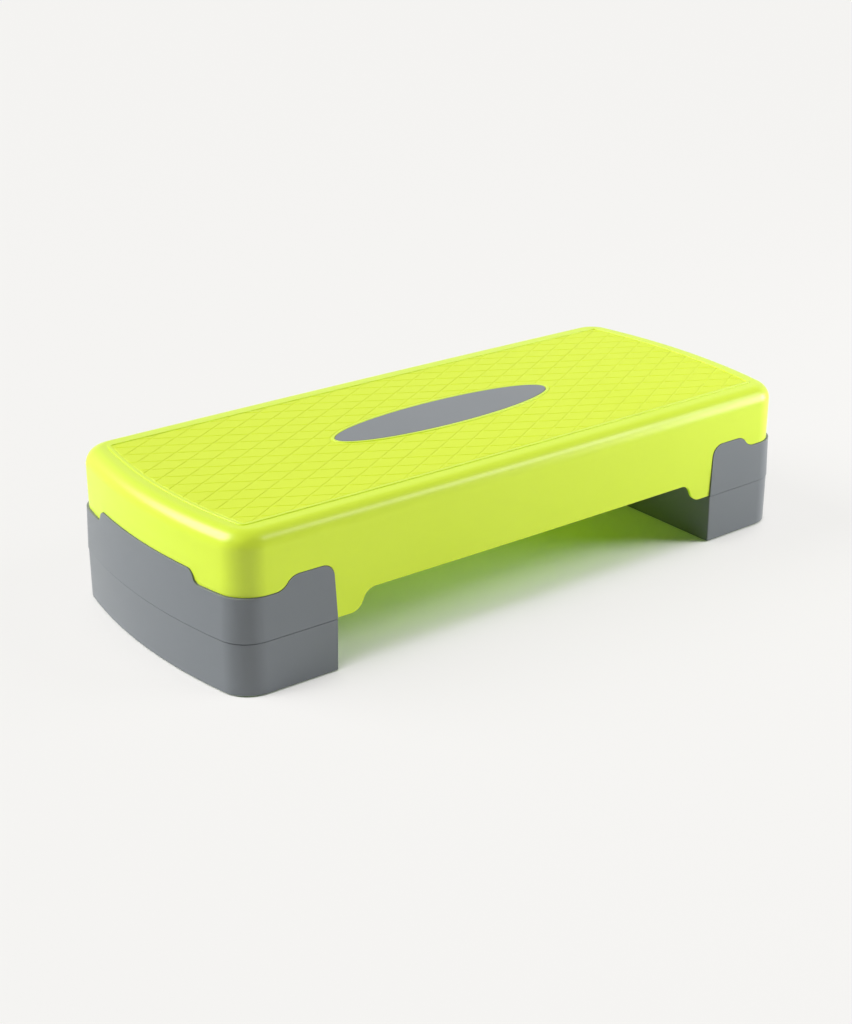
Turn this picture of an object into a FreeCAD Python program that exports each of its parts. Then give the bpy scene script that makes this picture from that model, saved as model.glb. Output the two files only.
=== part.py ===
import FreeCAD, Part
import math
import os

V = FreeCAD.Vector

# Two-level aerobic step, in millimetres.
# X runs along the step, Y across it and Z up. The origin is on the floor under the middle of the deck.

# Plan of the whole step, at the legs, which stand a little proud of the deck's skirt
overall_length = 675.0
overall_width = 287.0
overall_height = 148.0
end_bow = 18.0
side_bow = 3.0
corner_radius = 31.0

# Levels of the joints between deck, legs and risers
seam_height = 50.0
seam_gap = 0.3
joint_gap = 0.4
foot_reach = 1.0

# Deck: shell, top edge and skirt
skirt_inset = 1.6
skirt_end_step = 2.0
deck_wall = 2.8
deck_top = 3.5
top_edge_radius = 15.5
inner_edge_share = 0.6
lobe_lift = 0.3
arch_rise = 19.0
arch_end_distance = 153.0
lobe_bend_run = 26.0

# Wave-shaped joint line between the skirt and each leg: drops from the top, distances from the end
joint_low_drop = 57.0
joint_high_drop = 45.3
leg_run_low = 112.9
leg_run_high = 110.5
tab_corner_radius = 12.0
tab_crest_distance = 76.0
tab_side_run = 23.5
tab_end_half_width = 73.0
tab_end_run = 16.0

# Tread side of the deck
tread_rise = 0.8
border_inset = 24.2
border_width = 3.5
badge_half_length = 126.0
badge_half_width = 30.6
badge_thickness = 2.6
badge_gap = 0.3
badge_rim_width = 3.5
badge_peg_width = 4.5
badge_peg_gap = 0.2
badge_peg_length = 7.0

# Rib lattice, shared by deck, legs and risers
rib_thickness = 2.2
rib_side_margin = 6.0
deck_rib_depth = 26.0
deck_cross_ribs = 6
deck_long_ribs = 4
column_end_distance = 35.0
column_spacing = 55.0

# Upper legs
leg_wall = 2.8
leg_floor = 3.0
tongue_gap = 0.3
tongue_thickness = 2.2
shoulder_depth = 8.0
leg_rib_drop = 14.0
leg_wall_gap = 0.3
leg_wall_step = 0.4

# Screws that hold the legs to the deck
screw_pilot = 3.4
screw_hole = 4.5
screw_length = 30.0
screw_spare = 3.0
screw_sides = 6
screw_head_width = 8.0
screw_head_height = 3.0
screw_well = 9.5
post_width = 14.5
post_web = 10.0
post_drop = 48.0
post_gap = 0.3
boss_width = 11.0

# Risers and their pegs
riser_inset = 0.5
riser_wall = 2.8
riser_plate = 3.0
riser_run_low = 112.0
riser_run_high = 112.9
peg_width = 26.0
peg_wall = 2.5
peg_height = 16.0
peg_chamfer = 1.5
peg_gap = 0.3
peg_root = 12.0
socket_wall = 2.7
socket_spare = 2.0

# Rubber feet
riser_foot_width = 24.0
riser_foot_flange = 3.0
riser_foot_stem = 17.4
riser_foot_stem_length = 10.0
foot_gap = 0.3
foot_corner = 4.0
foot_tube_spare = 4.0
leg_foot_width = 20.0
leg_foot_flange = 2.5

# Cuts run past the faces that they open by the first, and faces nearer than the second count as meeting
overrun = 5.0
meeting_distance = 0.001

half_length = overall_length / 2
half_width = overall_width / 2
end_radius = (half_width ** 2 + end_bow ** 2) / (2 * end_bow)
side_radius = (half_length ** 2 + side_bow ** 2) / (2 * side_bow)
end_centre = V(half_length - end_radius, 0, 0)
side_centre = V(0, half_width - side_radius, 0)

floor_level = -overrun
plain_top = overall_height - tread_rise
ceiling = plain_top - deck_top
rib_low = ceiling - deck_rib_depth
lobe_low = seam_height + lobe_lift
arch_height = lobe_low + arch_rise
arch_half_span = half_length - arch_end_distance
joint_low = overall_height - joint_low_drop
joint_high = overall_height - joint_high_drop
leg_inner_low = half_length - leg_run_low
leg_inner_high = half_length - leg_run_high
tab_side_end = half_length - tab_crest_distance
riser_low = foot_reach
riser_top = seam_height - seam_gap
leg_bore_floor = seam_height + leg_floor
riser_ceiling = riser_top - riser_plate
riser_inner_low = half_length - riser_run_low
riser_inner_high = half_length - riser_run_high
post_top = overall_height - post_drop
screw_seat = post_top - post_web
cavity_inset = skirt_inset + deck_wall
tongue_outer = cavity_inset + tongue_gap
tongue_inner = tongue_outer + tongue_thickness
tongue_top = rib_low - leg_wall_gap
badge_seat = overall_height - badge_thickness

# Places on the lattice: a leg's middle rib, its screws and feet to either side, its two pegs
column_far = half_length - column_end_distance
column_near = column_far - column_spacing
leg_middle = (column_near + column_far) / 2
cross_pitch = 2 * column_near / (deck_cross_ribs - 1)
long_pitch = (overall_width - 2 * rib_side_margin) / (deck_long_ribs + 1)
post_row = 3 * long_pitch / 2
peg_row = long_pitch
foot_row = 2 * long_pitch


def meeting(centre_a, radius_a, centre_b, radius_b):
    """Point in the +X +Y quarter where two circles of the plan cross."""
    apart = centre_b - centre_a
    span = apart.Length
    along = (radius_a ** 2 - radius_b ** 2 + span ** 2) / (2 * span)
    aside = math.sqrt(radius_a ** 2 - along ** 2)
    unit = apart / span
    foot = centre_a + unit * along
    first = foot + V(-unit.y, unit.x, 0) * aside
    second = foot - V(-unit.y, unit.x, 0) * aside
    return first if min(first.x, first.y) > min(second.x, second.y) else second


def outline(inset, level, end_step):
    """Bowed plan outline moved in by inset; a step draws its ends in and rounds its corners more."""
    corner = corner_radius + end_step
    end_middle = end_centre - V(end_step, 0, 0)
    end_tip = V(half_length - inset - end_step, 0, level)
    side_tip = V(0, half_width - inset, level)

    def turned(point, sign_x, sign_y):
        return V(sign_x * point.x, sign_y * point.y, level)

    rounded = inset < corner
    if rounded:
        corner_centre = meeting(end_middle, end_radius - corner, side_centre, side_radius - corner)
        to_end = (corner_centre - end_middle).normalize()
        to_side = (corner_centre - side_centre).normalize()
        on_end = end_middle + to_end * (end_radius - inset)
        on_side = side_centre + to_side * (side_radius - inset)
        on_corner = corner_centre + (to_end + to_side).normalize() * (corner - inset)
    else:
        on_end = meeting(end_middle, end_radius - inset, side_centre, side_radius - inset)
        on_side = on_end
    edges = []
    for sign in (1, -1):
        edges.append(arc(turned(on_end, sign, -1), end_tip * sign + V(0, 0, level * (1 - sign)),
                         turned(on_end, sign, 1)))
        edges.append(arc(turned(on_side, -1, sign), V(0, sign * side_tip.y, level),
                         turned(on_side, 1, sign)))
        if rounded:
            for other in (1, -1):
                edges.append(arc(turned(on_end, sign, other), turned(on_corner, sign, other),
                                 turned(on_side, sign, other)))
    return Part.Face(Part.Wire(Part.__sortEdges__(edges)))


def arc(start, middle, end):
    return Part.Arc(start, middle, end).toShape()


def prism(inset, low, high, end_step=0):
    """Straight-sided block of the plan outline between two levels."""
    return outline(inset, low, end_step).extrude(V(0, 0, high - low))


def top_edges(block):
    """Edges that lie in the upper face of an upright block."""
    box = block.BoundBox
    return [edge for edge in block.Edges if edge.BoundBox.ZMin > (box.ZMin + box.ZMax) / 2]


def plate(x_low, x_high, y_low, y_high, z_low, z_high):
    return Part.makeBox(x_high - x_low, y_high - y_low, z_high - z_low, V(x_low, y_low, z_low))


def post(width, x, y, low, high):
    """Square block standing at a place."""
    return plate(x - width / 2, x + width / 2, y - width / 2, y + width / 2, low, high)


def many_sided(sides, width, x, y, low, high):
    """Upright block with a regular outline, its width taken across the corners."""
    turns = [2 * math.pi * index / sides for index in range(sides)]
    points = [V(x + width / 2 * math.cos(turn), y + width / 2 * math.sin(turn), low) for turn in turns]
    return Part.Face(Part.makePolygon(points + points[:1])).extrude(V(0, 0, high - low))


def oval(half_x, half_y, low, high):
    """Elliptical block centred on the deck."""
    ellipse = Part.Ellipse(V(0, 0, low), half_x, half_y).toShape()
    return Part.Face(Part.Wire(ellipse)).extrude(V(0, 0, high - low))


def line(start, end):
    return Part.LineSegment(start, end).toShape()


def s_bend(start, end):
    """Two equal arcs from start to end, level at both ends, in the XZ plane."""
    middle = (start + end) / 2
    run = end.x - start.x
    rise = end.z - start.z
    radius = (run ** 2 + rise ** 2) / (4 * abs(rise))
    quarter = math.atan2(abs(rise), abs(run))
    across = math.copysign(radius * math.sin(quarter), run)
    up = math.copysign(radius * (1 - math.cos(quarter)), rise)
    first = arc(start, start + V(across, 0, up), middle)
    second = arc(middle, end - V(across, 0, up), end)
    return [first, second]


def corner_points(before, corner, after, radius):
    """Ends and middle of the arc that rounds a corner between two straight lines."""
    back = (before - corner).normalize()
    onward = (after - corner).normalize()
    half_angle = back.getAngle(onward) / 2
    reach = radius / math.tan(half_angle)
    centre = corner + (back + onward).normalize() * (radius / math.sin(half_angle))
    middle = centre + (corner - centre).normalize() * radius
    return corner + back * reach, middle, corner + onward * reach


def inner_edge(level, gap):
    """Place along X of a leg's leaning inner edge at a level."""
    share = (level - seam_height) / (joint_high - seam_height)
    return leg_inner_low + (leg_inner_high - leg_inner_low) * share + gap


def tab_path(low, gap):
    """Joint line on the long side of the +X leg, from its inner edge at a low level out past the end."""
    foot = V(inner_edge(low, gap), 0, low)
    knee = V(inner_edge(joint_high - gap, gap), 0, joint_high - gap)
    crest = V(tab_side_end, 0, joint_high - gap)
    dip = V(tab_side_end + tab_side_run, 0, joint_low - gap)
    far = V(half_length + overrun, 0, joint_low - gap)
    start, middle, end = corner_points(foot, knee, crest, tab_corner_radius)
    edges = [line(foot, start), arc(start, middle, end), line(end, crest)]
    return edges + s_bend(crest, dip) + [line(dip, far)], foot, far


def closed_prism(edges, depth):
    """Block of a closed XZ outline, spread evenly to both sides along Y."""
    face = Part.Face(Part.Wire(Part.__sortEdges__(edges)))
    face.translate(V(0, -depth, 0))
    return face.extrude(V(0, 2 * depth, 0))


def mirrored(shape):
    return shape.mirror(V(0, 0, 0), V(1, 0, 0))


def end_tab(gap):
    """Block under the raised middle of the joint line on the +X end."""
    crest = V(tab_end_half_width, 0, joint_high - gap)
    dip = V(tab_end_half_width + tab_end_run, 0, joint_low - gap)
    toe = V(dip.x, 0, joint_low - overrun)
    half = s_bend(crest, dip) + [line(dip, toe)]
    edges = half + [mirrored(edge) for edge in half]
    edges += [line(V(-crest.x, 0, crest.z), crest), line(V(-toe.x, 0, toe.z), toe)]
    depth = (end_bow + tongue_inner + skirt_end_step + overrun) / 2
    block = closed_prism(edges, depth)
    block.rotate(V(0, 0, 0), V(0, 0, 1), 90)
    block.translate(V(half_length + overrun - depth, 0, 0))
    return block


def leg_space(low, gap):
    """Block under the joint line at the +X end, down to a level."""
    path, foot, far = tab_path(low, gap)
    toe = V(far.x, 0, low)
    side = closed_prism(path + [line(far, toe), line(toe, foot)], half_width + overrun)
    return side.fuse(end_tab(gap))


def under_skirt():
    """Everything below the edge of the deck's skirt: legs' joint lines, lobes and the arch between them."""
    path, foot, far = tab_path(lobe_low, 0)
    lobe = V(arch_half_span + lobe_bend_run, 0, lobe_low)
    crown = V(arch_half_span, 0, arch_height)
    toe = V(far.x, 0, floor_level)
    half = path + [line(foot, lobe)] + s_bend(lobe, crown) + [line(far, toe)]
    edges = half + [mirrored(edge) for edge in half]
    edges += [line(V(-crown.x, 0, crown.z), crown), line(V(-toe.x, 0, toe.z), toe)]
    block = closed_prism(edges, half_width + overrun)
    tab = end_tab(0)
    return block.fuse([tab, mirrored(tab)])


def lattice(count, pitch):
    """Evenly spaced places, symmetric about zero."""
    return [(index - (count - 1) / 2) * pitch for index in range(count)]


def posts():
    return [(x, y) for x in (column_near, column_far) for y in (-post_row, post_row)]


def feet():
    return [(x, y) for x in (column_near, column_far) for y in (-foot_row, foot_row)]


def pegs():
    return [(leg_middle, y) for y in (-peg_row, peg_row)]


def make_deck():
    """Lime moulding: rounded shell, skirt, border bead, badge seat, rib lattice and screw bosses."""
    blank = prism(skirt_inset, lobe_low - overrun, plain_top, skirt_end_step)
    blank = blank.makeFillet(top_edge_radius, top_edges(blank))
    cavity = prism(cavity_inset, lobe_low - 2 * overrun, ceiling, skirt_end_step)
    cavity = cavity.makeChamfer(top_edge_radius * inner_edge_share, top_edges(cavity))
    kept = []
    for x in lattice(deck_cross_ribs, cross_pitch) + [column_far, -column_far]:
        kept.append(plate(x - rib_thickness / 2, x + rib_thickness / 2, -half_width, half_width,
                          rib_low, plain_top))
    for y in lattice(deck_long_ribs, long_pitch):
        kept.append(plate(-half_length, half_length, y - rib_thickness / 2, y + rib_thickness / 2,
                          rib_low, plain_top))
    for x, y in posts():
        for side in (1, -1):
            kept.append(post(boss_width, side * x, y, post_top + post_gap, plain_top))
    shell = blank.cut(cavity.cut(kept))
    room = prism(cavity_inset + overrun, floor_level - overrun, plain_top, skirt_end_step)
    shell = shell.cut(under_skirt().cut(room))
    bead = prism(border_inset, ceiling + deck_top / 2, overall_height)
    bead = bead.cut(prism(border_inset + border_width, ceiling, overall_height + overrun))
    rim_x = badge_half_length + badge_gap + badge_rim_width
    rim_y = badge_half_width + badge_gap + badge_rim_width
    rim = oval(rim_x, rim_y, ceiling + deck_top / 2, overall_height)
    shell = shell.fuse([bead, rim])
    holes = [oval(badge_half_length + badge_gap, badge_half_width + badge_gap,
                  badge_seat, overall_height + overrun)]
    for side in (1, -1):
        holes.append(post(badge_peg_width + 2 * badge_peg_gap, side * cross_pitch, 0,
                          ceiling - overrun, overall_height))
        for x, y in posts():
            holes.append(many_sided(screw_sides, screw_pilot, side * x, y, post_top,
                                    screw_seat + screw_length + screw_spare))
    return shell.cut(holes)


def make_badge():
    """Grey oval plate let into the top of the deck, with two pegs."""
    block = oval(badge_half_length, badge_half_width, badge_seat, overall_height)
    lugs = [post(badge_peg_width, side * cross_pitch, 0, badge_seat - badge_peg_length,
                 badge_seat + badge_thickness / 2) for side in (1, -1)]
    return block.fuse(lugs)


def leaning_space(low, high, x_low, x_high):
    """Everything on the +X side of a leaning plane between two levels."""
    corners = [V(x_low, 0, low), V(x_high, 0, high), V(half_length + overrun, 0, high),
               V(half_length + overrun, 0, low)]
    edges = [line(corners[index - 1], corners[index]) for index in range(len(corners))]
    return closed_prism(edges, half_width + overrun)


def make_leg():
    """Grey upper leg at the +X end: wave-edged wall, tongue, cross wall, floor plate, posts and sockets."""
    wall = prism(0, seam_height, joint_high).common(leg_space(seam_height, joint_gap))
    core_low = seam_height + leg_floor / 2
    core = prism(tongue_outer, core_low, tongue_top, skirt_end_step)
    core = core.common(leaning_space(core_low, tongue_top, inner_edge(core_low, joint_gap) + leg_wall_step,
                                     inner_edge(tongue_top, joint_gap) + leg_wall_step))
    blank = wall.fuse([core], meeting_distance)
    room_top = tongue_top + overrun
    upper = prism(tongue_inner, leg_bore_floor, room_top, skirt_end_step)
    lower = prism(leg_wall, leg_bore_floor, joint_low - shoulder_depth)
    room = leaning_space(leg_bore_floor, room_top, inner_edge(leg_bore_floor, joint_gap) + leg_wall,
                         inner_edge(room_top, joint_gap) + leg_wall)
    cells = upper.fuse(lower).common(room)
    rib_top = post_top - leg_rib_drop
    kept = [plate(leg_middle - rib_thickness / 2, leg_middle + rib_thickness / 2,
                  -half_width, half_width, seam_height, rib_top)]
    for y in lattice(deck_long_ribs, long_pitch):
        kept.append(plate(leg_inner_low, half_length, y - rib_thickness / 2, y + rib_thickness / 2,
                          seam_height, rib_top))
    for x, y in posts():
        kept.append(post(post_width, x, y, seam_height, post_top))
    socket_top = seam_height + peg_height + socket_spare
    for x, y in pegs():
        kept.append(post(peg_width + 2 * peg_gap + 2 * socket_wall, x, y, seam_height,
                         socket_top + socket_wall))
    leg = blank.cut(cells.cut(kept))
    holes = []
    for x, y in posts():
        holes.append(post(screw_well, x, y, floor_level, screw_seat))
        holes.append(many_sided(screw_sides, screw_hole, x, y, floor_level, post_top + overrun))
    for x, y in pegs():
        holes.append(post(peg_width + 2 * peg_gap, x, y, floor_level, socket_top))
    for x, y in feet():
        holes.append(post(leg_foot_width + 2 * foot_gap, x, y, floor_level,
                          seam_height - foot_reach + leg_foot_flange))
    return leg.cut(holes)


def make_riser():
    """Grey riser at the +X end: walls, top plate, ribs, foot tubes and two hollow pegs."""
    blank = prism(riser_inset, riser_low, riser_top)
    blank = blank.common(leaning_space(riser_low, riser_top, riser_inner_low, riser_inner_high))
    cells = prism(riser_inset + riser_wall, floor_level, riser_ceiling)
    cells = cells.common(leaning_space(floor_level, riser_ceiling, riser_inner_low + riser_wall,
                                       riser_inner_high + riser_wall))
    rib_foot = riser_low + riser_foot_flange
    kept = [plate(leg_middle - rib_thickness / 2, leg_middle + rib_thickness / 2,
                  -half_width, half_width, rib_foot, riser_top)]
    for y in lattice(deck_long_ribs, long_pitch):
        kept.append(plate(riser_inner_high, half_length, y - rib_thickness / 2, y + rib_thickness / 2,
                          rib_foot, riser_top))
    for x, y in feet():
        kept.append(post(riser_foot_width, x, y, riser_foot_flange, riser_top))
    for x, y in pegs():
        kept.append(post(peg_width, x, y, riser_ceiling - peg_root, riser_top))
    riser = blank.cut(cells.cut(kept))
    stubs = []
    for x, y in pegs():
        stub = post(peg_width, x, y, riser_ceiling, seam_height + peg_height)
        stubs.append(stub.makeChamfer(peg_chamfer, top_edges(stub)))
    riser = riser.fuse(stubs)
    holes = []
    for x, y in pegs():
        holes.append(post(peg_width - 2 * peg_wall, x, y, floor_level,
                          seam_height + peg_height - peg_wall))
    for x, y in feet():
        holes.append(post(riser_foot_stem + 2 * foot_gap, x, y, floor_level,
                          riser_foot_flange + riser_foot_stem_length + foot_tube_spare))
        holes.append(post(leg_foot_width + 4 * foot_gap, x, y,
                          seam_height - foot_reach - foot_gap, seam_height + overrun))
    return riser.cut(holes)


def make_pad(width, height, x, y, level):
    """Rubber pad with cut corners."""
    pad = post(width, x, y, level, level + height)
    upright = [edge for edge in pad.Edges if edge.BoundBox.ZLength > height / 2]
    return pad.makeChamfer(foot_corner, upright)


def make_riser_foot(x, y):
    """Rubber foot of a riser: a pad on the floor and a stem that fills its tube."""
    pad = make_pad(riser_foot_width, riser_foot_flange, x, y, 0)
    stem = post(riser_foot_stem, x, y, riser_foot_flange / 2, riser_foot_flange + riser_foot_stem_length)
    return pad.fuse(stem)


def make_screw(x, y):
    """Hexagon-head screw for plastics, head down against the web of its post."""
    shank = many_sided(screw_sides, screw_pilot, x, y, screw_seat - screw_head_height / 2,
                       screw_seat + screw_length)
    head = many_sided(screw_sides, screw_head_width, x, y, screw_seat - screw_head_height, screw_seat)
    return shank.fuse(head)


def save(shape, name):
    shape.exportStep("parts/" + name + ".step")


def save_pair(shape, stem):
    save(shape, stem + "_right")
    save(mirrored(shape), stem + "_left")


os.makedirs("parts", exist_ok=True)

save(make_deck(), "deck")
save(make_badge(), "badge_plate")
save_pair(make_leg(), "upper_leg")
save_pair(make_riser(), "riser")
save_pair(Part.makeCompound([make_screw(x, y) for x, y in posts()]), "leg_screws")
for x, y in feet():
    depth_name = "front" if y < 0 else "rear"
    length_name = "inner" if x < leg_middle else "outer"
    place_name = "_" + depth_name + "_" + length_name
    leg_foot = make_pad(leg_foot_width, leg_foot_flange, x, y, seam_height - foot_reach)
    save_pair(leg_foot, "leg_foot" + place_name)
    save_pair(make_riser_foot(x, y), "riser_foot" + place_name)
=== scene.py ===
# %% [markdown]
# This lesson dresses an aerobic step: a lime deck on two grey legs, each of which stands on a grey
# riser. The imported CAD pieces are loaded first.

# %% Load the imported step
import math
import bmesh
import bpy
from mathutils import Matrix, Vector


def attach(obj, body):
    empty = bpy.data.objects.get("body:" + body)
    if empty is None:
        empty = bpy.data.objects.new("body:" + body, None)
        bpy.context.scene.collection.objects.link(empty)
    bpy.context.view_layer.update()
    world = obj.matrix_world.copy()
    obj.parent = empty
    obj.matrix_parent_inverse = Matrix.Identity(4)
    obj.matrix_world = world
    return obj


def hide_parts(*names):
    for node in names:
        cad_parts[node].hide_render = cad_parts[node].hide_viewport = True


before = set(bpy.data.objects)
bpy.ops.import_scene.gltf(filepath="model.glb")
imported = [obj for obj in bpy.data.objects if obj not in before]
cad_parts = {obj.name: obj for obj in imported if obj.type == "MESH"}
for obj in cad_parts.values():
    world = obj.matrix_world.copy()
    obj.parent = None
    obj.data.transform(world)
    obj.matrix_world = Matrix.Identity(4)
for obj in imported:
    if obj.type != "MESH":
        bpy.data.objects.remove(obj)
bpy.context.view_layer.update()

MM = 0.001

# %% [markdown]
# The camera stands where the photographer stood: a little over knee height, off the left front
# corner, looking down at the step. The focal length in pixels becomes a lens in millimetres through
# the sensor's long side, and the yaw and pitch, in radians, become the three axes of the camera's
# matrix. A track-to constraint would also aim it, but a matrix keeps the measured angles visible.

# %% Camera
image_height_pixels = 1024
focal_pixels = 1769.1
sensor_mm = 36
camera_yaw = 0.6532
camera_pitch = 0.3999
camera_place = Vector((-0.98772, -1.26183, 0.72051))

camera_data = bpy.data.cameras.new("photo_camera")
camera_data.sensor_width = sensor_mm
camera_data.lens = focal_pixels * sensor_mm / image_height_pixels
camera = bpy.data.objects.new("photo_camera", camera_data)
bpy.context.scene.collection.objects.link(camera)
forward = Vector((math.sin(camera_yaw) * math.cos(camera_pitch),
                  math.cos(camera_yaw) * math.cos(camera_pitch), -math.sin(camera_pitch)))
right = Vector((math.cos(camera_yaw), -math.sin(camera_yaw), 0))
axes = Matrix((right, right.cross(forward), -forward)).transposed()
camera.matrix_world = Matrix.Translation(camera_place) @ axes.to_4x4()
bpy.context.scene.camera = camera
print("lens:", round(camera_data.lens, 2), "mm")

# %% [markdown]
# Every finish below is a small node tree. One helper adds a node, sets its settings and links its
# sockets, so that a material reads as a short list. Colours are written as the sRGB hex values that
# a designer would quote, and are turned to the linear values that the shader works in.

# %% Helpers for materials


def linear(hex_colour):
    """Linear RGBA of an sRGB hex colour."""
    channels = [int(hex_colour[index:index + 2], 16) / 255 for index in (1, 3, 5)]
    return [c / 12.92 if c <= 0.04045 else ((c + 0.055) / 1.055) ** 2.4 for c in channels] + [1]


def add_node(tree, kind, settings=None, **sockets):
    """Add a node and fill its inputs, by name with underscores for spaces, or by number as in _0."""
    node = tree.nodes.new(kind)
    for name, value in (settings or {}).items():
        setattr(node, name, value)
    for name, value in sockets.items():
        socket = node.inputs[int(name[1:]) if name[1:].isdigit() else name.replace("_", " ")]
        if isinstance(value, bpy.types.NodeSocket):
            tree.links.new(value, socket)
        else:
            socket.default_value = value
    return node


def new_tree(name):
    """A new material and its empty node tree."""
    material = bpy.data.materials.new(name)
    material.use_nodes = True
    material.node_tree.nodes.clear()
    return material, material.node_tree


def per_mm(size):
    """Texture scale that gives a pattern of about this size in millimetres."""
    return 1 / (size * MM)


print("linear value of a middle grey:", round(linear("#808080")[0], 3))

# %% [markdown]
# The deck, legs, risers and badge are injection-moulded polypropylene. The mould's faces are
# spark-eroded, which leaves a fine satin grain, and the melt's flow leaves the faintest clouds of
# lighter and darker colour. One recipe serves both colours: clouds in the colour, a slow change of
# gloss, and a grain as bump. The real grain is about a tenth of a millimetre. It is drawn at several
# times that, because a finer one would vanish between the pixels. The tread is grained more deeply
# than the walls, for grip, so it is duller. Its colour is also a little darker than the walls' lime:
# that is painted shade, which tones down the strong light on the top.

# %% Moulded polypropylene, lime and grey
cloud_mm = 90
gloss_change = 0.04
grain_strength = 0.25


def moulded_polypropylene(name, colour, cloud_colour, roughness, grain_mm, grain_depth_mm):
    """Satin moulded plastic: soft broad highlights, a fine even grain, colour all the way through."""
    material, tree = new_tree(name)
    place = add_node(tree, "ShaderNodeTexCoord").outputs["Object"]
    clouds = add_node(tree, "ShaderNodeTexNoise", Vector=place, Scale=per_mm(cloud_mm), Detail=3.0)
    tint = add_node(tree, "ShaderNodeMix", {"data_type": "RGBA"}, Factor=clouds.outputs["Fac"],
                    _6=linear(colour), _7=linear(cloud_colour))
    gloss = add_node(tree, "ShaderNodeMapRange", Value=clouds.outputs["Fac"],
                     To_Min=roughness - gloss_change, To_Max=roughness + gloss_change)
    grain = add_node(tree, "ShaderNodeTexNoise", Vector=place, Scale=per_mm(grain_mm), Detail=2.0)
    bump = add_node(tree, "ShaderNodeBump", Height=grain.outputs["Fac"], Strength=grain_strength,
                    Distance=grain_depth_mm * MM)
    plastic = add_node(tree, "ShaderNodeBsdfPrincipled", Base_Color=tint.outputs["Result"], IOR=1.49,
                       Roughness=gloss.outputs["Result"], Normal=bump.outputs["Normal"])
    add_node(tree, "ShaderNodeOutputMaterial", Surface=plastic.outputs["BSDF"])
    return material


lime_plastic = moulded_polypropylene("lime moulded polypropylene", "#DDF53C", "#D8F134",
                                     roughness=0.33, grain_mm=0.7, grain_depth_mm=0.03)
# The tread's darker lime is painted shade on the top. Its duller gloss and deeper grain are real.
tread_plastic_with_painted_shade = moulded_polypropylene("lime polypropylene, grained tread", "#DDF038", "#D8EC32",
                                      roughness=0.5, grain_mm=0.9, grain_depth_mm=0.08)
grey_plastic = moulded_polypropylene("grey moulded polypropylene", "#797E83", "#747A7F",
                                     roughness=0.33, grain_mm=0.7, grain_depth_mm=0.03)
print("plastics:", lime_plastic.name, "/", tread_plastic_with_painted_shade.name, "/", grey_plastic.name)

# %% [markdown]
# Two small finishes stay underneath: the black rubber of the feet, dull and slightly dusty, and the
# zinc plating of the screws, a bright metal with a fine uneven haze. Their CAD meshes are plain enough
# to keep, so they only get a material.

# %% Rubber and zinc-plated steel


def moulded_rubber(name):
    """Black rubber: no clear highlight, a dusty grey where it has rubbed the floor."""
    material, tree = new_tree(name)
    place = add_node(tree, "ShaderNodeTexCoord").outputs["Object"]
    dust = add_node(tree, "ShaderNodeTexNoise", Vector=place, Scale=per_mm(6), Detail=4.0)
    tint = add_node(tree, "ShaderNodeMix", {"data_type": "RGBA"}, Factor=dust.outputs["Fac"],
                    _6=linear("#1C1C1D"), _7=linear("#2E2E2F"))
    bump = add_node(tree, "ShaderNodeBump", Height=dust.outputs["Fac"], Strength=0.3,
                    Distance=0.1 * MM)
    rubber = add_node(tree, "ShaderNodeBsdfPrincipled", Base_Color=tint.outputs["Result"], IOR=1.52,
                      Roughness=0.75, Normal=bump.outputs["Normal"])
    add_node(tree, "ShaderNodeOutputMaterial", Surface=rubber.outputs["BSDF"])
    return material


def zinc_plated_steel(name):
    """Zinc plating: pale bluish metal, its gloss broken by a fine haze."""
    material, tree = new_tree(name)
    place = add_node(tree, "ShaderNodeTexCoord").outputs["Object"]
    haze = add_node(tree, "ShaderNodeTexNoise", Vector=place, Scale=per_mm(1.5), Detail=3.0)
    gloss = add_node(tree, "ShaderNodeMapRange", Value=haze.outputs["Fac"], To_Min=0.3, To_Max=0.45)
    steel = add_node(tree, "ShaderNodeBsdfPrincipled", Base_Color=linear("#C9CCD1"), Metallic=1.0,
                     Roughness=gloss.outputs["Result"])
    add_node(tree, "ShaderNodeOutputMaterial", Surface=steel.outputs["BSDF"])
    return material


foot_rubber = moulded_rubber("black moulded rubber")
screw_steel = zinc_plated_steel("zinc-plated steel")
for name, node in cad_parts.items():
    finish = foot_rubber if "foot" in name else screw_steel if "screws" in name else None
    if finish:
        node.data.materials.clear()
        node.data.materials.append(finish)
print("feet and screws finished:", foot_rubber.name, "/", screw_steel.name)

# %% [markdown]
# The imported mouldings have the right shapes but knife-sharp edges, and no moulded part has those: the
# mould is cut with a small radius, and that radius is what catches the light along every rim. The
# triangles of each moulding are copied, joined and cleared of flat diagonals, and then only the edges
# that can be seen from outside are bevelled. A bevel modifier would round every rib inside as well.

# %% Helpers for the mouldings
plan_half_length = 337.5 * MM
plan_half_width = 143.5 * MM
end_bow = 18 * MM
side_bow = 3 * MM
end_radius = (plan_half_width ** 2 + end_bow ** 2) / (2 * end_bow)
side_radius = (plan_half_length ** 2 + side_bow ** 2) / (2 * side_bow)
look_out = 20 * MM
upright_limit = 0.3
weld_distance = 0.002 * MM
flat_angle = math.radians(0.1)
rim_angle = math.radians(30)
sharp_angle = math.radians(35)


def plan_inset(x, y):
    """How far a place lies inside the bowed plan of the step."""
    from_end = end_radius - math.hypot(abs(x) - (plan_half_length - end_radius), y)
    from_side = side_radius - math.hypot(x, abs(y) - (plan_half_width - side_radius))
    return min(from_end, from_side)


def is_outer_wall(face):
    """True for an upright face that looks out of the plan."""
    look = face.calc_center_median() + face.normal * look_out
    return abs(face.normal.z) < upright_limit and plan_inset(look.x, look.y) < 0


def merged_copy(node_name):
    """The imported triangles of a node, joined at their corners and cleared of flat diagonals."""
    work = bmesh.new()
    work.from_mesh(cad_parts[node_name].data)
    bmesh.ops.remove_doubles(work, verts=work.verts, dist=weld_distance)
    bmesh.ops.dissolve_limit(work, angle_limit=flat_angle, verts=work.verts, edges=work.edges)
    return work


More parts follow.
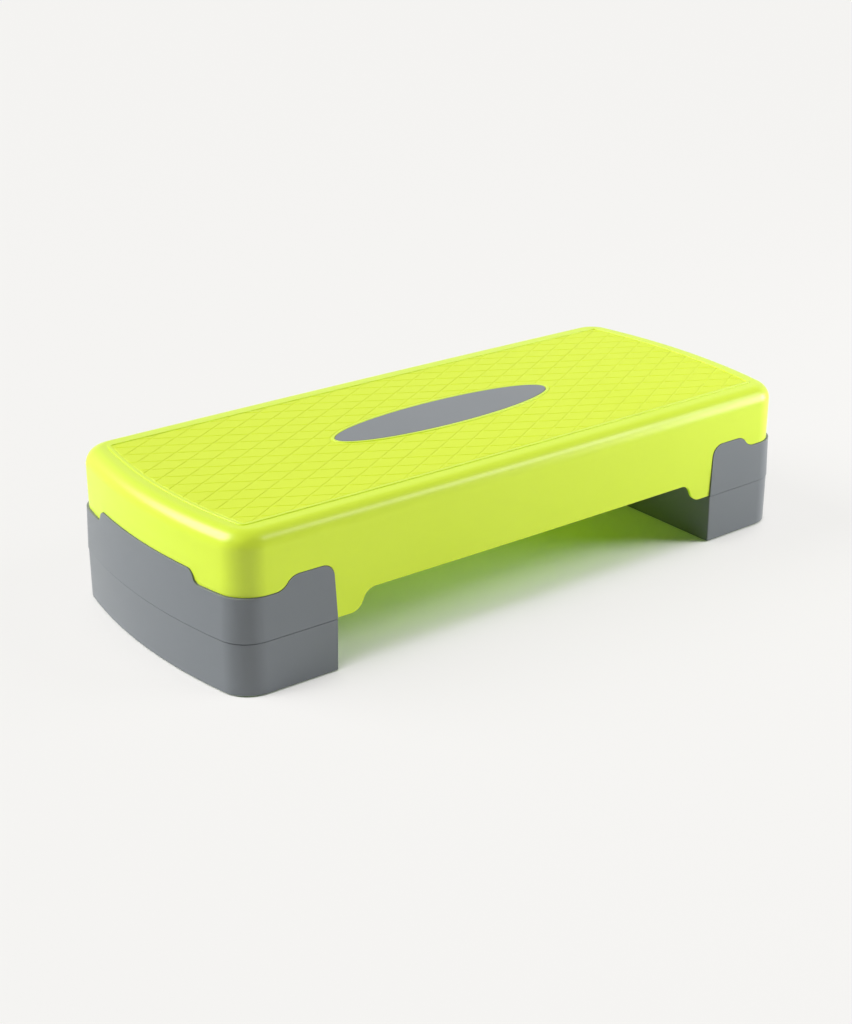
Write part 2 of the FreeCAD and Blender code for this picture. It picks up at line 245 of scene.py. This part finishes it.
def rounded(work, edges, radius, segments=3):
    """Round a set of edges with a small mould radius."""
    bmesh.ops.bevel(work, geom=edges, offset=radius, offset_type="OFFSET", affect="EDGES",
                    segments=segments, profile=0.5, material=-1, clamp_overlap=True)


def rim_edges(work):
    """Sharp edges between an outer wall and the faces next to it."""
    rims = []
    for edge in work.edges:
        if len(edge.link_faces) == 2 and edge.calc_face_angle() > rim_angle:
            if is_outer_wall(edge.link_faces[0]) != is_outer_wall(edge.link_faces[1]):
                rims.append(edge)
    return rims


def finish_piece(work, name, body, material):
    """Turn a bmesh into a smooth-shaded piece that rides on a body."""
    work.normal_update()
    for face in work.faces:
        face.smooth = True
    for edge in work.edges:
        edge.smooth = len(edge.link_faces) == 2 and edge.calc_face_angle() < sharp_angle
    mesh = bpy.data.meshes.new(name)
    work.to_mesh(mesh)
    work.free()
    mesh.materials.append(material)
    piece = bpy.data.objects.new(name, mesh)
    bpy.context.scene.collection.objects.link(piece)
    weighted = piece.modifiers.new("even shading", "WEIGHTED_NORMAL")
    weighted.keep_sharp = True
    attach(piece, body)
    print(name, "faces:", len(mesh.polygons))
    return piece


print("radius of the bowed ends:", round(end_radius / MM), "mm, of the sides:", round(side_radius / MM))

# %% [markdown]
# The deck is the lime moulding. Its skirt ends in the wave that meets the grey legs and in the long
# arch between them, and that lower rim is rounded. On top, the border bead and the ring round the
# badge are rounded as well. They are found by their height, because nothing else reaches so high.

# %% Deck
skirt_rim_radius = 1.0 * MM
bead_radius = 0.6 * MM
bead_level = 147.6 * MM
step_angle = math.radians(60)


def steps_above(work, level):
    """Steep edges that lie wholly above a level."""
    return [edge for edge in work.edges
            if len(edge.link_faces) == 2 and edge.calc_face_angle() > step_angle
            and min(vert.co.z for vert in edge.verts) > level]


deck = merged_copy("deck")
rounded(deck, rim_edges(deck), skirt_rim_radius)
rounded(deck, steps_above(deck, bead_level), bead_radius)
deck_piece = finish_piece(deck, "deck_moulding", "platform", lime_plastic)
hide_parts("deck")

# %% [markdown]
# The legs and risers are grey mouldings of the same kind. A leg could not leave its mould with upright
# walls, so they lean in a little towards the top, where they come level with the lime skirt. The upper
# rim of a riser stops short of the leg on it, which leaves a dark line all round between the two. A
# ring is inset into the riser's top first, so that only its border sinks and the rest stays flat. The
# two rims at the seam are rounded less than the others, or the light would fill the line.

# %% Legs and risers
leg_rim_radius = 1.0 * MM
lean_of_end = 2.5 * MM
lean_of_side = 1.2 * MM
lean_start = Vector((290 * MM, 100 * MM))
joint_level = 100 * MM
seam_level = 50 * MM
seam_reach = 1.5 * MM
seam_rim_radius = 0.3 * MM
seam_gap = 0.5 * MM
seam_depth = 2.5 * MM
riser_level = 49.7 * MM
touching = 0.01 * MM
level_limit = 0.99


def lies_level(face, level):
    """True for a face that looks up and lies at a level."""
    return face.normal.z > level_limit and abs(face.calc_center_median().z - level) < touching


def lean_walls(work):
    """Lean the outer walls of a leg inwards, more the higher they are."""
    for vert in work.verts:
        x, y, z = vert.co
        if z > seam_level:
            height = (z - seam_level) / (joint_level - seam_level)
            along = max(0, (abs(x) - lean_start.x) / (plan_half_length - lean_start.x))
            across = max(0, (abs(y) - lean_start.y) / (plan_half_width - lean_start.y))
            vert.co.x -= math.copysign(lean_of_end * height * along, x)
            vert.co.y -= math.copysign(lean_of_side * height * across, y)


def sink_top_rim(work):
    """Lower the upper rim of a riser to open the seam above it."""
    top = [face for face in work.faces if lies_level(face, riser_level)]
    bmesh.ops.inset_region(work, faces=top, thickness=seam_depth, use_even_offset=True,
                           use_boundary=True)
    rim = {vert for edge in rim_edges(work) for vert in edge.verts
           if abs(vert.co.z - riser_level) < touching}
    bmesh.ops.translate(work, verts=list(rim), vec=(0, 0, -seam_gap))
    print("rim places sunk:", len(rim))


def near_seam(edge):
    """True for an edge that borders the seam between leg and riser."""
    return all(abs(vert.co.z - seam_level) < seam_reach for vert in edge.verts)


for side in ("left", "right"):
    for stem, body in (("upper_leg", "platform"), ("riser", "riser_" + side)):
        node_name = stem + "_" + side
        block = merged_copy(node_name)
        if stem == "riser":
            sink_top_rim(block)
        else:
            lean_walls(block)
        rounded(block, [edge for edge in rim_edges(block) if not near_seam(edge)], leg_rim_radius)
        rounded(block, [edge for edge in rim_edges(block) if near_seam(edge)], seam_rim_radius,
                segments=2)
        piece = finish_piece(block, node_name + "_moulding", body, grey_plastic)
        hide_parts(node_name)

# %% [markdown]
# The badge is a thin grey oval, snapped into a seat in the deck. The upper rim of a merged copy is
# rounded, so that it parts from the seat in a fine line. A fresh oval could be drawn instead, but the
# copy is sure to fit the seat.

# %% Badge plate
badge_rim_radius = 0.8 * MM

badge = merged_copy("badge_plate")
badge_top = max(vert.co.z for vert in badge.verts)
rounded(badge, steps_above(badge, badge_top - touching), badge_rim_radius)
badge_piece = finish_piece(badge, "badge_moulding", "platform", grey_plastic)
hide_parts("badge_plate")

# %% [markdown]
# The tread is a field of low rhombic pads with narrow channels between them. The field starts as one
# flat face that is cut along both edges of every channel, like a sheet under a slitter, and the strips
# between the cuts are thrown away. Each pad could also be drawn from its corners, but then the ones
# that are trimmed at the border would need sums of their own; cuts do both.

# %% Cut the tread into pads
tread_level = 147.2 * MM
line_pitch = 19.6 * MM
line_angle = math.radians(30)
line_offsets = {1: 1.7 * MM, -1: -6.4 * MM}
channel_half_width = 0.7 * MM
cut_tolerance = 0.01 * MM

field = bmesh.new()
bmesh.ops.create_grid(field, x_segments=1, y_segments=1, size=plan_half_length)
bmesh.ops.scale(field, vec=(1, plan_half_width / plan_half_length, 1), verts=field.verts)
bmesh.ops.translate(field, vec=(0, 0, tread_level), verts=field.verts)


def across_lines(lean):
    """Direction across one of the two families of channels."""
    return Vector((math.sin(line_angle), lean * math.cos(line_angle), 0))


def cut_all(work, point, normal, clear=False):
    """Cut every face along a plane, and drop what lies beyond it if asked."""
    bmesh.ops.bisect_plane(work, geom=work.verts[:] + work.edges[:] + work.faces[:],
                           dist=cut_tolerance, plane_co=point, plane_no=normal, clear_outer=clear)


def in_channel(face):
    """True for a strip between two pads."""
    middle = face.calc_center_median()
    return any(abs(math.remainder(middle.dot(across_lines(lean)) - offset, line_pitch))
               < channel_half_width for lean, offset in line_offsets.items())


line_reach = plan_half_length * math.sin(line_angle) + plan_half_width * math.cos(line_angle)
line_count = math.ceil(line_reach / line_pitch)
for lean, offset in line_offsets.items():
    across = across_lines(lean)
    for index in range(-line_count, line_count + 1):
        for edge in (-channel_half_width, channel_half_width):
            cut_all(field, across * (index * line_pitch + offset + edge), across)
bmesh.ops.delete(field, geom=[face for face in field.faces if in_channel(face)], context="FACES")
cell = field.faces.layers.int.new("cell")
for index, face in enumerate(field.faces):
    face[cell] = index
print("pads before trimming:", len(field.faces))

# %% [markdown]
# The real tread stops at a bead along the bowed border and at a ring round the badge. A row of
# straight cuts follows each bow and throws away what lies outside. The oval's cuts only touch the pads
# near them, and what lies inside goes. A pad that was cut in two by such a line is joined again
# through the number that it was given. Slivers too small to be moulded are left out.

# %% Trim the tread at the border and round the badge
border_inset = 28.6 * MM
oval_half_length = 131.6 * MM
oval_half_width = 36.2 * MM
arc_steps = 6
oval_sides = 48
near_oval = 45 * MM
least_edge = 1.4 * MM
least_pad_radius = 2.0 * MM

end_centre = Vector((plan_half_length - end_radius, 0, 0))
side_centre = Vector((0, plan_half_width - side_radius, 0))
end_turn = math.asin(plan_half_width / end_radius)
side_turn = math.asin(plan_half_length / side_radius)
for sign in (1, -1):
    for step in range(-arc_steps, arc_steps + 1):
        turn = step / arc_steps * end_turn
        across = Vector((sign * math.cos(turn), math.sin(turn), 0))
        cut_all(field, sign * end_centre + across * (end_radius - border_inset), across, clear=True)
        turn = step / arc_steps * side_turn
        across = Vector((math.sin(turn), sign * math.cos(turn), 0))
        cut_all(field, sign * side_centre + across * (side_radius - border_inset), across, clear=True)

for index in range(oval_sides):
    turn = 2 * math.pi * (index + 0.5) / oval_sides
    point = Vector((oval_half_length * math.cos(turn), oval_half_width * math.sin(turn), tread_level))
    across = Vector((math.cos(turn) / oval_half_length, math.sin(turn) / oval_half_width, 0))
    close = [face for face in field.faces if (face.calc_center_median() - point).length < near_oval]
    geometry = set(close)
    for face in close:
        geometry.update(face.verts)
        geometry.update(face.edges)
    bmesh.ops.bisect_plane(field, geom=list(geometry), dist=cut_tolerance, plane_co=point,
                           plane_no=across.normalized())


def inside_oval(face):
    """True for a face inside the ring round the badge."""
    middle = face.calc_center_median()
    return (middle.x / oval_half_length) ** 2 + (middle.y / oval_half_width) ** 2 < 1


bmesh.ops.delete(field, geom=[face for face in field.faces if inside_oval(face)], context="FACES")
split = [edge for edge in field.edges
         if len(edge.link_faces) == 2 and edge.link_faces[0][cell] == edge.link_faces[1][cell]]
bmesh.ops.dissolve_edges(field, edges=split, use_verts=True)
bmesh.ops.remove_doubles(field, verts=field.verts, dist=least_edge)
slivers = [face for face in field.faces
           if 2 * face.calc_area() < least_pad_radius * face.calc_perimeter()]
bmesh.ops.delete(field, geom=slivers, context="FACES")
print("pads kept:", len(field.faces))

# %% [markdown]
# The channels have the same grain as the pads. The deck's own flat top, lifted by a hair, carries it
# between them. A second material on the deck would do as well, but a piece of its own keeps one
# material to a piece.

# %% Floor of the channels
lift = 0.02 * MM
bead_clearance = 2 * MM

channels = merged_copy("deck")
other_faces = [face for face in channels.faces
               if not lies_level(face, tread_level)
               or min(plan_inset(vert.co.x, vert.co.y) for vert in face.verts)
               < border_inset - bead_clearance]
bmesh.ops.delete(channels, geom=other_faces, context="FACES")
bmesh.ops.translate(channels, vec=(0, 0, lift), verts=channels.verts)
print("channel floor area:", round(sum(face.calc_area() for face in channels.faces), 4), "m2")
# The channel floor carries the tread's colour, painted shade included.
channel_piece = finish_piece(channels, "tread_channels", "platform", tread_plastic_with_painted_shade)

# %% [markdown]
# Two insets with height give each pad a sloping flank and a softer upper edge. A bevel would do the
# same, but it would also round the pads' corners in plan, and the real corners are sharp.

# %% Raise the pads
flank_run = 0.6 * MM
pad_height = 0.4 * MM
flank_share_of_run = 0.7
flank_share_of_height = 0.8

bmesh.ops.inset_individual(field, faces=field.faces[:], thickness=flank_run * flank_share_of_run,
                           depth=pad_height * flank_share_of_height, use_even_offset=True)
tops = [face for face in field.faces if face.normal.z > level_limit]
bmesh.ops.inset_individual(field, faces=tops, thickness=flank_run * (1 - flank_share_of_run),
                           depth=pad_height * (1 - flank_share_of_height), use_even_offset=True)
turned = [face for face in field.faces if face.normal.z < 0]
print("pad faces turned over:", len(turned))
tread_piece = finish_piece(field, "tread_pads", "platform", tread_plastic_with_painted_shade)

# %% [markdown]
# A photographer's sweep of paper looks evenly pale, and only the floor that the step covers goes dark.
# An ambient occlusion node measures how covered each place of the floor is. Where it is open, the
# camera mostly sees the paper's own colour as light, and where it is covered, the camera sees the
# real, shadowed paper, with the green that the lime deck throws on it. A plain diffuse floor is
# simpler, but then every lamp leaves a patch on it. From below the floor is clear, so that the
# underside of the step can be looked at and a lamp can reach it.

# %% Floor
floor_hex = "#F5F4F2"
floor_half = 15
cover_reach = 0.3
cover_samples = 16
covered_below = 0.36
open_above = 0.64
open_share = 0.9


def background_rays(tree):
    """One for rays that show the plain background: seen straight, in a gloss or through glass."""
    rays = add_node(tree, "ShaderNodeLightPath").outputs
    mirrored = add_node(tree, "ShaderNodeMath", {"operation": "MAXIMUM"}, _0=rays["Is Camera Ray"],
                        _1=rays["Is Glossy Ray"])
    either = add_node(tree, "ShaderNodeMath", {"operation": "MAXIMUM"}, _0=mirrored.outputs["Value"],
                      _1=rays["Is Transmission Ray"])
    return either.outputs["Value"]


def matt_paper(name):
    """Unglazed white paper: evenly pale, without any sheen, darker only where the step covers it."""
    material, tree = new_tree(name)
    cover = add_node(tree, "ShaderNodeAmbientOcclusion", {"samples": cover_samples},
                     Distance=cover_reach)
    share = add_node(tree, "ShaderNodeMapRange", Value=cover.outputs["AO"], From_Min=covered_below,
                     From_Max=open_above, To_Max=open_share)
    seen = add_node(tree, "ShaderNodeMath", {"operation": "MULTIPLY"}, _0=share.outputs["Result"],
                    _1=background_rays(tree))
    shaded = add_node(tree, "ShaderNodeBsdfPrincipled", Base_Color=linear(floor_hex), Roughness=1.0,
                      Specular_IOR_Level=0.0)
    plain = add_node(tree, "ShaderNodeEmission", Color=linear(floor_hex))
    above = add_node(tree, "ShaderNodeMixShader", Fac=seen.outputs["Value"],
                     _1=shaded.outputs["BSDF"], _2=plain.outputs["Emission"])
    side = add_node(tree, "ShaderNodeNewGeometry")
    rays = add_node(tree, "ShaderNodeLightPath")
    passed = add_node(tree, "ShaderNodeMath", {"operation": "MAXIMUM"},
                      _0=side.outputs["Backfacing"], _1=rays.outputs["Is Shadow Ray"])
    clear = add_node(tree, "ShaderNodeBsdfTransparent")
    paper = add_node(tree, "ShaderNodeMixShader", Fac=passed.outputs["Value"],
                     _1=above.outputs["Shader"], _2=clear.outputs["BSDF"])
    add_node(tree, "ShaderNodeOutputMaterial", Surface=paper.outputs["Shader"])
    return material


floor_work = bmesh.new()
bmesh.ops.create_grid(floor_work, x_segments=1, y_segments=1, size=floor_half)
floor_mesh = bpy.data.meshes.new("studio_floor")
floor_work.to_mesh(floor_mesh)
floor_work.free()
floor_mesh.materials.append(matt_paper("matt paper backdrop"))
floor = bpy.data.objects.new("studio_floor", floor_mesh)
bpy.context.scene.collection.objects.link(floor)
print("floor:", 2 * floor_half, "m square")

# %% [markdown]
# Two large softboxes face each other across the step: one behind it on the left, one in front of it on
# the right. The corner between them stays dark. A narrower strip above the front draws the highlight
# along the rounded top edge. The far ones are suns with a wide angle, which light the whole step
# evenly. The near one is a disk, so that the front gets darker away from it.

# %% Softboxes
fill_aim = Vector((0.25, -0.1, 0.08))
fill_side = Vector((0.8, -0.5, 0.2))
fill_distance = 1.5


def add_lamp(name, kind, energy, from_side, **settings):
    """Add a lamp that shines on the step from one side."""
    lamp = bpy.data.lights.new(name, kind)
    lamp.energy = energy
    for setting, value in settings.items():
        setattr(lamp, setting, value)
    holder = bpy.data.objects.new(name, lamp)
    holder.rotation_euler = from_side.to_track_quat("Z", "Y").to_euler()
    bpy.context.scene.collection.objects.link(holder)
    print("lamp:", name)
    return holder


add_lamp("softbox_left_behind", "SUN", 3.8, Vector((-0.6, 0.53, 0.6)), angle=math.radians(40))
add_lamp("strip_above_front", "SUN", 0.9, Vector((0.6, -0.5, 0.62)), angle=math.radians(20))
fill = add_lamp("softbox_right_front", "AREA", 17, fill_side, shape="DISK", size=0.8)
fill.location = fill_aim + fill_distance * fill_side
fill.visible_camera = False

# %% [markdown]
# The paper that the step stands on throws light up at its underside, and the lime ribs send that light
# down again, so the floor under the real deck glows green. In a render this takes many bounces. A weak
# green lamp below the floor, for which the paper is clear, shines straight up instead, and it also
# lights the hollow risers from below.

# %% Light from the paper
add_lamp("light_from_paper", "SUN", 1.0, Vector((0, 0, -1)), color=linear("#D0FF90")[:3])

# %% [markdown]
# Beyond the floor there is only the world. It gives the room a little light from all sides, while the
# camera and the glossy plastic see it in the colour of the paper, so that no horizon shows.

# %% World
room_light = 0.03

world = bpy.data.worlds.new("studio")
world.use_nodes = True
world.node_tree.nodes.clear()
room = add_node(world.node_tree, "ShaderNodeBackground", Color=linear("#FFFFFF"), Strength=room_light)
shown = add_node(world.node_tree, "ShaderNodeBackground", Color=linear(floor_hex))
seen = add_node(world.node_tree, "ShaderNodeMixShader", Fac=background_rays(world.node_tree),
                _1=room.outputs["Background"], _2=shown.outputs["Background"])
add_node(world.node_tree, "ShaderNodeOutputWorld", Surface=seen.outputs["Shader"])
bpy.context.scene.world = world
bpy.context.scene.view_settings.view_transform = "Standard"
print("world:", world.name, "room light:", room_light)
